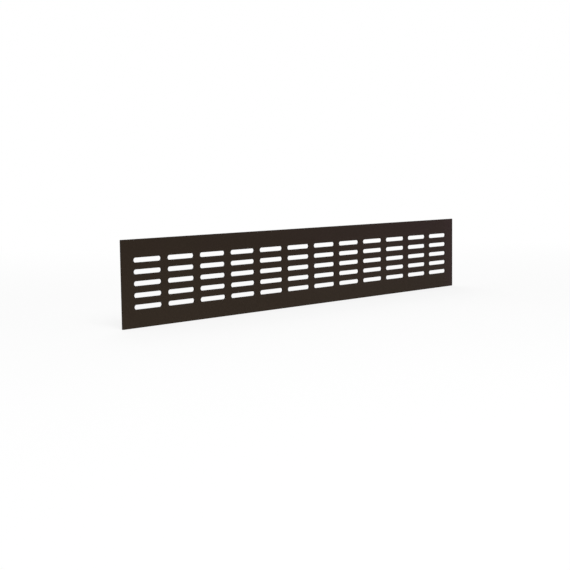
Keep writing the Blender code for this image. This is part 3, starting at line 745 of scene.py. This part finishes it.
@contextmanager
def reworked(mesh):
    """An editable copy of a mesh, which takes its place afterwards."""
    work = bmesh.new()
    work.from_mesh(mesh)
    yield work
    work.to_mesh(mesh)
    work.free()


def weld(mesh):
    with reworked(mesh) as work:
        bmesh.ops.remove_doubles(work, verts=work.verts, dist=WELD)
        bmesh.ops.recalc_face_normals(work, faces=work.faces)


def run_tree(obj, build, **values):
    """Reshapes an object with a node group, whose inputs are set by their sockets' identifiers."""
    tree = once(build)
    modifier = obj.modifiers.new(tree.name, "NODES")
    modifier.node_group = tree
    for item in tree.interface.items_tree:
        key = item.name.lower().replace(" ", "_")
        if item.in_out == "INPUT" and key in values:
            modifier[item.identifier] = values.pop(key)
    if values:
        raise KeyError(f"{tree.name} has no inputs {sorted(values)}")
    return settle(obj)


def wires(name, loops):
    """A mesh of closed loops without faces, each in its own X and Y."""
    edges = []
    for loop in loops:
        first = len(edges)
        edges += [(first + i, first + (i + 1) % len(loop)) for i in range(len(loop))]
    return mesh_object(name, [(u, v, 0.0) for loop in loops for u, v in loop], edges)


def extruded(name, outline, thickness, placing):
    """A solid from a flat outline, with a thickness about its middle, placed by a matrix."""
    curve = bpy.data.curves.new(name, "CURVE")
    curve.dimensions = "2D"
    curve.fill_mode = "BOTH"
    curve.extrude = thickness / 2
    spline = curve.splines.new("POLY")
    spline.points.add(len(outline) - 1)
    for point, (u, v) in zip(spline.points, outline):
        point.co = (u, v, 0.0, 1.0)
    spline.use_cyclic_u = True
    source = place_in_scene(name, curve)
    mesh = evaluated_mesh(source)
    discard(source)
    weld(mesh)
    mesh.transform(placing)
    return place_in_scene(name, mesh)


def turned(name, profile, placing, steps=ROUND_STEPS):
    """A round solid about its own Z from its outer side, listed top to bottom as radius and height."""
    obj = mesh_object(name, [(radius, 0.0, height) for radius, height in profile],
                      [(i, i + 1) for i in range(len(profile) - 1)])
    screw = obj.modifiers.new("turn", "SCREW")
    screw.steps = screw.render_steps = steps
    screw.use_merge_vertices = True
    screw.merge_threshold = WELD
    settle(obj)
    weld(obj.data)
    obj.data.transform(placing)
    return obj


def combine(target, helper, operation):
    """Cuts a closed helper from a closed solid, or joins it on, and removes the helper."""
    modifier = target.modifiers.new(operation.lower(), "BOOLEAN")
    modifier.operation = operation
    modifier.solver = "MANIFOLD"
    modifier.object = helper
    settle(target)
    discard(helper)


def soften(obj, radius):
    """Rounds the edges of a solid."""
    bevel = obj.modifiers.new("soft_edges", "BEVEL")
    bevel.width = radius
    bevel.segments = 3
    bevel.limit_method = "ANGLE"
    bevel.angle_limit = EDGE_ANGLE
    return settle(obj)


def softened_copy(node, name, radius):
    """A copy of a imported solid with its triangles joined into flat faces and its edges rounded."""
    mesh = frame["nodes"][node].data.copy()
    mesh.materials.clear()
    with reworked(mesh) as work:
        bmesh.ops.remove_doubles(work, verts=work.verts, dist=WELD)
        bmesh.ops.dissolve_limit(work, angle_limit=FLAT_ANGLE, verts=work.verts, edges=work.edges)
    return soften(place_in_scene(name, mesh), radius)


def flat_regions(work):
    """Groups of faces that touch and lie in one plane, round each large face."""
    waiting = set(work.faces)
    for seed in work.faces:
        if seed not in waiting or seed.calc_area() < FLAT_AREA:
            continue
        waiting.discard(seed)
        region = [seed]
        for face in region:
            for other in [other for edge in face.edges for other in edge.link_faces]:
                if other in waiting and other.normal.angle(face.normal, 0) < FLAT_ANGLE:
                    waiting.discard(other)
                    region.append(other)
        yield region


def is_wide(region):
    """Whether a flat region is wider than an edge or a facet of a curve."""
    members = set(region)
    rim = {edge for face in region for edge in face.edges if not members.issuperset(edge.link_faces)}
    area = sum(face.calc_area() for face in region)
    return 2 * area > FLAT_WIDTH * sum(edge.calc_length() for edge in rim)


def frame_flats(mesh):
    """Gives the wide flat sides of a solid narrow borders, so that edge masks end there.

    Pointiness is one value for nearby points whose coordinates add up to the same, as on some diagonals,
    so each border also moves aside by a hair.
    """
    diagonal = Vector((1, 1, 1))
    with reworked(mesh) as work:
        work.normal_update()
        for flats in [region for region in flat_regions(work) if is_wide(region)]:
            facing = flats[0].normal.copy()
            aside = (diagonal - facing * facing.dot(diagonal)).normalized() * HAIR
            for border in range(BORDERS):
                bmesh.ops.inset_region(
                    work, faces=flats, thickness=BORDER_WIDTH, use_boundary=True, use_even_offset=False)
                for corner in {corner for face in flats for corner in face.verts}:
                    corner.co += aside


def present(obj, body, slot, *nodes):
    """Paints and shades a finished mesh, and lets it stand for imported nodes."""
    mesh = obj.data
    frame_flats(mesh)
    mesh.materials.clear()
    mesh.materials.append(finish(slot))
    mesh.polygons.foreach_set("material_index", [0] * len(mesh.polygons))
    mesh.shade_smooth()
    mesh.set_sharp_from_angle(angle=SHARP_ANGLE)
    obj.modifiers.new("even_normals", "WEIGHTED_NORMAL").keep_sharp = True
    settle(obj)
    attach(obj, body)
    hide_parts(*nodes)


def nodes_named(start):
    found = sorted(name for name in frame["nodes"] if name.startswith(start))
    if not found:
        raise RuntimeError(f"the packed model has no node that starts with {start}")
    return found


def seat(node):
    """The middle of a node's front side."""
    low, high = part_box(node)
    return Vector(((low.x + high.x) / 2, low.y, (low.z + high.z) / 2))


def towards_front(place):
    """Puts a turned shape at a place with its own Z towards the front."""
    return Matrix.Translation(place) @ SHEET_FRAME


def sink(target, start, profile):
    """Cuts a turned profile into a solid at the front of each node whose name starts so."""
    for node in nodes_named(start):
        combine(target, turned("cutter", profile, towards_front(seat(node))), "DIFFERENCE")


def perforated(name, loops, sizes, thickness, back, slot):
    """A slotted sheet with rounded edges, whose back stands at a depth."""
    pattern = settings().slots
    sheet = run_tree(
        wires(name, loops), build_perforated_sheet, columns=pattern.columns, rows=pattern.rows,
        column_pitch=pattern.column_pitch, row_pitch=pattern.row_pitch, slot_length=sizes.slot_length,
        slot_height=sizes.slot_height, arc_points=pattern.arc_points, thickness=thickness,
        material=finish(slot))
    soften(sheet, sizes.edge)
    sheet.data.transform(towards_front(Vector((0, back, 0))))
    return sheet


def set_fasteners(name, fastener, start, seed, body, slot):
    """Puts one fastener at the place of each node whose name starts so, as one mesh."""
    nodes = nodes_named(start)
    fasteners = run_tree(
        mesh_object(name, [seat(node) for node in nodes]), build_fastener_set, fastener=fastener,
        seed=seed, material=finish(slot))
    discard(fastener)
    present(fasteners, body, slot, *nodes)


# Operators

class FacePlateOperator(bpy.types.Operator):
    """Builds the slotted face plate with its snap legs"""

    bl_idname = "vent.add_face_plate"
    bl_label = "Face Plate"
    bl_options = {"REGISTER", "UNDO"}

    def execute(self, context):
        sizes = settings().face
        outline = box_outline(FACE_LOW, FACE_HIGH, sizes.corner, sizes.corner, FILLET_STEPS)
        back = FACE_LOW.y + sizes.thickness
        plate = perforated("face_plate_skin", [outline], sizes, sizes.thickness, back, "coated_face")
        for turn in (STRAIGHT, HALF_TURN):
            combine(plate, self.leg(sizes, back, turn), "UNION")
        present(plate, "base", "coated_face", "face_plate")
        return {"FINISHED"}

    def leg(self, sizes, back, turn):
        """The barbed leg along the bottom edge, or along the top with a half turn."""
        outer = FACE_LOW.z + sizes.leg_inset
        inner = outer + sizes.leg_thickness
        barb = inner + sizes.barb_height
        root, tip = back - sizes.leg_root, FACE_HIGH.y
        soft = sizes.leg_fillet
        section = filleted([
            (root, outer, 0), (tip, outer, soft), (tip, inner, soft),
            (tip - sizes.barb_width / 2, barb, soft), (tip - sizes.barb_width, barb, soft),
            (tip - sizes.barb_width, inner, 0), (root, inner, 0),
        ])
        run = FACE_HIGH.x - FACE_LOW.x - 2 * sizes.leg_setback
        return extruded("snap_leg", section, run, turn @ SECTION_FRAME)


class ShutterOperator(bpy.types.Operator):
    """Builds the sliding sheet with its seats for studs and rivets"""

    bl_idname = "vent.add_shutter"
    bl_label = "Shutter"
    bl_options = {"REGISTER", "UNDO"}

    def execute(self, context):
        sizes, fasteners = settings().shutter, settings().fastener
        gap = sizes.clearance
        left, right, tab_end = SHUTTER_LOW.x, -SHUTTER_LOW.x, SHUTTER_HIGH.x
        half_tab = sizes.tab_height / 2
        outline = filleted([
            (left, SHUTTER_LOW.z, sizes.corner), (right, SHUTTER_LOW.z, sizes.corner),
            (right, -half_tab, 0), (tab_end, -half_tab, sizes.tab_corner),
            (tab_end, half_tab, sizes.tab_corner), (right, half_tab, 0),
            (right, SHUTTER_HIGH.z, sizes.corner), (left, SHUTTER_HIGH.z, sizes.corner),
        ], LARGE_FILLET_STEPS)
        holes = [circle(seat(node), diameter / 2 + gap)
                 for start, diameter in (("shutter_stud", fasteners.stud_shank),
                                         ("grip_rivet", fasteners.rivet_shank))
                 for node in nodes_named(start)]
        sheet = perforated("shutter_plate_skin", [outline] + holes, sizes,
                           SHUTTER_HIGH.y - SHUTTER_LOW.y, SHUTTER_HIGH.y, "coated_shutter")
        head, floor = STUD_HEAD + gap, -(fasteners.stud_head + gap)
        sink(sheet, "shutter_stud", [(0, CUT_PAST), (head, CUT_PAST), (head, floor), (0, floor)])
        head, shank = RIVET_HEAD + gap, fasteners.rivet_shank / 2
        sink(sheet, "grip_rivet", [
            (0, CUT_PAST), (head, CUT_PAST), (head, 0), (shank, shank - head), (0, shank - head)])
        present(sheet, "shutter", "coated_shutter", "shutter_plate")
        return {"FINISHED"}


class GripOperator(bpy.types.Operator):
    """Builds the moulded finger grip"""

    bl_idname = "vent.add_grip"
    bl_label = "Finger Grip"
    bl_options = {"REGISTER", "UNDO"}

    def execute(self, context):
        sizes, fasteners = settings().moulding, settings().fastener
        low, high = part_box("finger_grip")
        nose = SHUTTER_HIGH.x + sizes.clearance
        depth = SHUTTER_HIGH.y + sizes.clearance
        left, right = low.x - CUT_PAST, high.x + CUT_PAST
        start = Vector((nose + sizes.grip_nose, low.y))
        end = Vector((high.x, high.y - sizes.grip_rim))
        section = [(left, depth), (nose, depth), (nose, low.y), tuple(start), tuple(end),
                   (right, end.y), (right, high.y), (left, high.y)]
        grip = extruded("finger_grip_skin", section, high.z - low.z + 2 * CUT_PAST, STRAIGHT)
        outline = box_outline(low, high, sizes.grip_inner_corner, sizes.grip_corner, LARGE_FILLET_STEPS)
        middle = Vector((0, (low.y + high.y) / 2, 0))
        blank = extruded("outline", outline, high.y - low.y + 2 * CUT_PAST, towards_front(middle))
        combine(grip, blank, "INTERSECT")
        soften(grip, sizes.grip_edge)
        combine(grip, self.hollow(sizes, start, end), "DIFFERENCE")
        hole, head = fasteners.rivet_shank / 2 + sizes.clearance, RIVET_HEAD + sizes.clearance
        step, past = RIVET_END + fasteners.rivet_head + sizes.clearance, RIVET_END - CUT_PAST
        sink(grip, "grip_rivet", [
            (0, CUT_PAST), (hole, CUT_PAST), (hole, step), (head, step), (head, past), (0, past)])
        present(grip, "shutter", "moulded_grip", "finger_grip")
        return {"FINISHED"}

    def hollow(self, sizes, start, end):
        """The ribbed hollow for a fingertip, sunk into the slope between two points of the section."""
        slope = end - start
        outwards = Vector((slope.y, -slope.x)).normalized()
        depth = sizes.hollow_depth
        radius = (sizes.hollow_width ** 2 / 4 + depth ** 2) / (2 * depth)
        straight = sizes.hollow_height - sizes.hollow_width
        turns = [math.pi / 2 * i / LARGE_FILLET_STEPS for i in range(1, LARGE_FILLET_STEPS)]
        top = [(0, straight / 2 + radius)]
        top += [(radius * math.sin(t), straight / 2 + radius * math.cos(t)) for t in turns]
        steps = RIB_STEPS * sizes.hollow_ribs
        ribs = [(radius - sizes.rib_height * math.sin(math.pi * i * sizes.hollow_ribs / steps) ** 2,
                 straight / 2 - straight * i / steps) for i in range(steps + 1)]
        profile = top + ribs + [(across, -height) for across, height in reversed(top)]
        centre = (start + end) / 2 + outwards * (radius - depth)
        return turned("hollow", profile, Matrix.Translation(centre.to_3d()), HOLLOW_STEPS)


class RivetsOperator(bpy.types.Operator):
    """Builds the two rivets of the grip"""

    bl_idname = "vent.add_rivets"
    bl_label = "Grip Rivets"
    bl_options = {"REGISTER", "UNDO"}

    def execute(self, context):
        sizes = settings().fastener
        head, shank, end = RIVET_HEAD, sizes.rivet_shank / 2, RIVET_END
        rear, dimple = end + sizes.rivet_head, end + sizes.rivet_dimple
        soft, chamfer = sizes.rivet_head / 3, head * RIVET_CHAMFER
        rivet = turned("rivet", [
            (0, 0), (head - chamfer, 0), (head, -chamfer), (shank, shank - head), (shank, rear),
            (head - soft / 2, rear), (head, rear - soft / 2), (head, end + soft), (head - soft, end),
            (shank * DIMPLE_TOP, end), (shank * DIMPLE_FLOOR, dimple), (0, dimple),
        ], SHEET_FRAME)
        set_fasteners("grip_rivets", rivet, "grip_rivet", RIVET_SEED, "shutter", "rivet_aluminium")
        return {"FINISHED"}


class StudsOperator(bpy.types.Operator):
    """Builds the nylon studs that carry the shutter"""

    bl_idname = "vent.add_studs"
    bl_label = "Shutter Studs"
    bl_options = {"REGISTER", "UNDO"}

    def execute(self, context):
        sizes = settings().fastener
        shank, rear, soft = sizes.stud_shank / 2, -sizes.stud_head, sizes.stud_fillet
        stud = turned("stud", filleted([
            (0, 0, 0), (STUD_HEAD, 0, soft), (STUD_HEAD, rear, soft), (shank, rear, soft),
            (shank, STUD_END, 2 * soft), (0, STUD_END, 0),
        ]), SHEET_FRAME)
        set_fasteners("shutter_studs", stud, "shutter_stud", STUD_SEED, "shutter", "nylon")
        return {"FINISHED"}


class RailsOperator(bpy.types.Operator):
    """Builds both extruded base rails"""

    bl_idname = "vent.add_rails"
    bl_label = "Base Rails"
    bl_options = {"REGISTER", "UNDO"}

    def execute(self, context):
        sizes, fasteners = settings().rail, settings().fastener
        rail = extruded("base_rail", self.section(sizes), RAIL_HIGH.x - RAIL_LOW.x, SECTION_FRAME)
        depth = Vector((0, RAIL_HIGH.y - sizes.web / 2, 0))
        radius = fasteners.stud_shank / 2 + sizes.clearance
        slant = math.atan2(TRAVEL.z, TRAVEL.x)
        for node in nodes_named("shutter_stud_bottom"):
            ramp = round_ended(seat(node) + TRAVEL / 2, TRAVEL.length, radius, slant)
            cutter = extruded("ramp", ramp, sizes.web + 2 * CUT_PAST, towards_front(depth))
            combine(rail, cutter, "DIFFERENCE")
        head, hole = SCREW_HEAD + sizes.clearance, fasteners.screw_shank / 2 + sizes.clearance
        past = -sizes.web - CUT_PAST
        sink(rail, "fixing_screw_bottom", [
            (0, CUT_PAST), (head, CUT_PAST), (head, 0), (hole, hole - head), (hole, past), (0, past)])
        top = place_in_scene("base_rail_top_skin", rail.data.copy())
        top.data.transform(HALF_TURN)
        rail.name = "base_rail_bottom_skin"
        present(rail, "base", "mill_aluminium", "base_rail_bottom")
        present(top, "base", "mill_aluminium", "base_rail_top")
        return {"FINISHED"}

    def section(self, sizes):
        """The L of wall and web, with a groove outside for the barbs of the face plate."""
        outer, top = RAIL_LOW.z, RAIL_HIGH.z
        inner, groove = outer + sizes.wall, outer + sizes.groove_depth
        front, back = RAIL_LOW.y, RAIL_HIGH.y
        web_front = back - sizes.web
        groove_front = FACE_HIGH.y - settings().face.barb_width - sizes.clearance
        groove_back = FACE_HIGH.y + sizes.clearance
        soft = sizes.fillet
        return filleted([
            (back, outer, soft / 2), (back, top, soft), (web_front, top, soft), (web_front, inner, soft),
            (front, inner, soft), (front, outer + sizes.lead_in, soft / 2),
            (front + sizes.lead_in, outer, soft / 2), (groove_front, outer, soft / 2),
            (groove_front, groove, soft), (groove_back, groove, soft), (groove_back, outer, soft / 2),
        ])


class CapsOperator(bpy.types.Operator):
    """Builds both moulded end caps"""

    bl_idname = "vent.add_caps"
    bl_label = "End Caps"
    bl_options = {"REGISTER", "UNDO"}

    def execute(self, context):
        for node in nodes_named("end_cap"):
            cap = softened_copy(node, f"{node}_skin", settings().moulding.cap_edge)
            present(cap, "base", "moulded_cap", node)
        return {"FINISHED"}


class SealsOperator(bpy.types.Operator):
    """Builds both foam strips"""

    bl_idname = "vent.add_seals"
    bl_label = "Foam Seals"
    bl_options = {"REGISTER", "UNDO"}

    def execute(self, context):
        sizes = settings().seal
        front = RAIL_HIGH.y + sizes.spare
        for node in nodes_named("seal"):
            low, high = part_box(node)
            strip = run_tree(
                mesh_object(f"{node}_strip"), build_foam_strip, length=high.x - low.x - sizes.unevenness,
                width=high.z - low.z - sizes.unevenness, thickness=high.y - front - sizes.unevenness,
                corner=sizes.corner, unevenness=sizes.unevenness, stations=sizes.stations,
                material=finish("foam"))
            strip.data.transform(Matrix.Translation((0, (front + high.y) / 2, (low.z + high.z) / 2)))
            present(strip, "base", "foam", node)
        return {"FINISHED"}


class ScrewsOperator(bpy.types.Operator):
    """Builds the four countersunk fixing screws with their threads"""

    bl_idname = "vent.add_screws"
    bl_label = "Fixing Screws"
    bl_options = {"REGISTER", "UNDO"}

    def execute(self, context):
        sizes = settings().fastener
        head, core, end = SCREW_HEAD, sizes.screw_core / 2, SCREW_END
        rim, point = sizes.screw_rim, sizes.screw_point
        screw = turned("screw", [
            (0, 0), (head - rim / 2, 0), (head, -rim / 2), (head, -rim), (core + rim, core - head),
            (core, core - head - rim), (core, end + point),
            (core * POINT_WIDTH, end + point * POINT_HEIGHT), (0, end),
        ], STRAIGHT)
        tip = end + sizes.screw_pitch / 2
        outer = sizes.screw_shank / 2
        thread = run_tree(
            mesh_object("thread"), build_screw_thread, pitch=sizes.screw_pitch,
            height=core - head - 2 * rim - tip, outer_radius=outer, ridge=(outer - core) * THREAD_RIDGE,
            point_length=point, steps=THREAD_STEPS, material=finish("plated_steel"))
        weld(thread.data)
        thread.data.transform(Matrix.Translation((0, 0, tip)))
        combine(screw, thread, "UNION")
        for turn in (0, math.pi / 2):
            combine(screw, self.blade(sizes, turn), "DIFFERENCE")
        screw.data.transform(SHEET_FRAME)
        set_fasteners("fixing_screws", screw, "fixing_screw", SCREW_SEED, "base", "plated_steel")
        return {"FINISHED"}

    def blade(self, sizes, turn):
        """One tapered blade of the cross recess."""
        half, depth = sizes.recess_width / 2, sizes.recess_depth
        foot = half * RECESS_FOOT
        outline = [(-half, CUT_PAST), (-half, 0), (-foot, -depth), (foot, -depth), (half, 0),
                   (half, CUT_PAST)]
        return extruded(
            "blade", outline, half * RECESS_THICKNESS, Matrix.Rotation(turn, 4, "Z") @ SHEET_FRAME)


class StageOperator(bpy.types.Operator):
    """Builds the floor, the lamps, the surrounding light and the camera"""

    bl_idname = "vent.set_stage"
    bl_label = "Stage"
    bl_options = {"REGISTER", "UNDO"}

    def execute(self, context):
        stage = settings().stage
        half = stage.floor_size / 2
        corners = [(u * half, v * half, FACE_LOW.z) for u, v in ((-1, -1), (1, -1), (1, 1), (-1, 1))]
        floor = mesh_object("floor", corners, faces=[(0, 1, 2, 3)])
        floor.data.materials.append(new_finish("floor_finish", self.floor_finish, stage))
        context.scene.world = self.surroundings(stage)
        self.lamp("key", stage.key_power, KEY_PLACE)
        self.lamp("fill", stage.fill_power, FILL_PLACE)
        context.scene.camera = self.camera(stage)
        context.scene.view_settings.view_transform = "Standard"
        return {"FINISHED"}

    def whitened(self, tree, surface, white, share=None):
        """A surface or sky that is plain white, or white by a share, for rays that look for a background."""
        path = tree.nodes.new("ShaderNodeLightPath").outputs
        seen = arith(tree, "MAXIMUM", path["Is Camera Ray"], path["Is Glossy Ray"])
        seen = arith(tree, "MAXIMUM", seen, path["Is Transmission Ray"])
        if share:
            seen = times(tree, seen, share)
        return grow(tree, "ShaderNodeMixShader", {0: seen, 1: surface, 2: white})

    def floor_finish(self, tree, place, stage):
        """A pale, matt floor that fades to plain white away from the vent."""
        tone = settings().finishes.floor
        patches = effect(tree, build_patches, place, scale=3.0, contrast=0.3)
        white = grow(tree, "ShaderNodeEmission", {"Strength": 1.0})
        away = grow(tree, "ShaderNodeVectorMath", {0: place}, operation="LENGTH").outputs["Value"]
        glow = remap(tree, away, stage.fade_start, stage.fade_end, stage.floor_glow, 1.0)
        surface = self.whitened(tree, tree.nodes["Principled BSDF"], white, glow)
        feed(tree, tree.nodes["Material Output"].inputs["Surface"], surface)
        return {"Base Color": mixed(tree, patches, tone, scaled_colour(tone, 1.02)),
                "Roughness": 0.9, "Specular IOR Level": 0.1}

    def surroundings(self, stage):
        world = bpy.data.worlds.new("studio")
        world.use_nodes = True
        tree = world.node_tree
        soft = tree.nodes["Background"]
        for socket, value in (("Color", WHITE), ("Strength", stage.sky)):
            feed(tree, soft.inputs[socket], value)
        white = grow(tree, "ShaderNodeBackground", {"Color": WHITE, "Strength": 1.0})
        feed(tree, tree.nodes["World Output"].inputs["Surface"], self.whitened(tree, soft, white))
        return world

    def lamp(self, name, power, place):
        """A square lamp at a place, turned to the vent."""
        lamp = bpy.data.lights.new(name, "AREA")
        lamp.energy = power
        lamp.size = LAMP_SIZE
        obj = place_in_scene(name, lamp)
        obj.location = place
        obj.rotation_euler = (-place).to_track_quat("-Z", "Y").to_euler()

    def camera(self, stage):
        lens = bpy.data.cameras.new("camera")
        lens.lens = stage.lens
        camera = place_in_scene("camera", lens)
        turn = (Matrix.Rotation(-stage.yaw, 4, "Z") @ Matrix.Rotation(math.pi / 2 - stage.pitch, 4, "X")
                @ Matrix.Rotation(stage.roll, 4, "Z"))
        back = Matrix.Translation((0, 0, stage.distance))
        camera.matrix_world = Matrix.Translation(stage.aim) @ turn @ back
        return camera


STEPS = (
    StageOperator, FacePlateOperator, ShutterOperator, GripOperator, RivetsOperator, StudsOperator,
    RailsOperator, CapsOperator, SealsOperator, ScrewsOperator,
)
GROUPS = (
    SlotSizes, FaceSizes, ShutterSizes, RailSizes, MouldingSizes, FastenerSizes, SealSizes, Finishes,
    StageSizes, VentSettings,
)


class VentPanel(bpy.types.Panel):
    """Lists the steps that build the vent"""

    bl_idname = "VIEW3D_PT_trickle_vent"
    bl_label = "Trickle Vent"
    bl_space_type = "VIEW_3D"
    bl_region_type = "UI"
    bl_category = "Vent"

    def draw(self, context):
        for step in STEPS:
            self.layout.operator(step.bl_idname)
        for name in VentSettings.__annotations__:
            group = getattr(settings(), name)
            column = self.layout.column(align=True)
            column.label(text=name.title())
            for key in type(group).__annotations__:
                column.prop(group, key)


def register():
    for group in (*GROUPS, *STEPS, VentPanel):
        bpy.utils.register_class(group)
    bpy.types.Scene.trickle_vent = PointerProperty(type=VentSettings)


def unregister():
    del bpy.types.Scene.trickle_vent
    for group in reversed((*GROUPS, *STEPS, VentPanel)):
        bpy.utils.unregister_class(group)


def main():
    register()
    for step in STEPS:
        module, name = step.bl_idname.split(".")
        getattr(getattr(bpy.ops, module), name)()


if __name__ == "__main__":
    main()
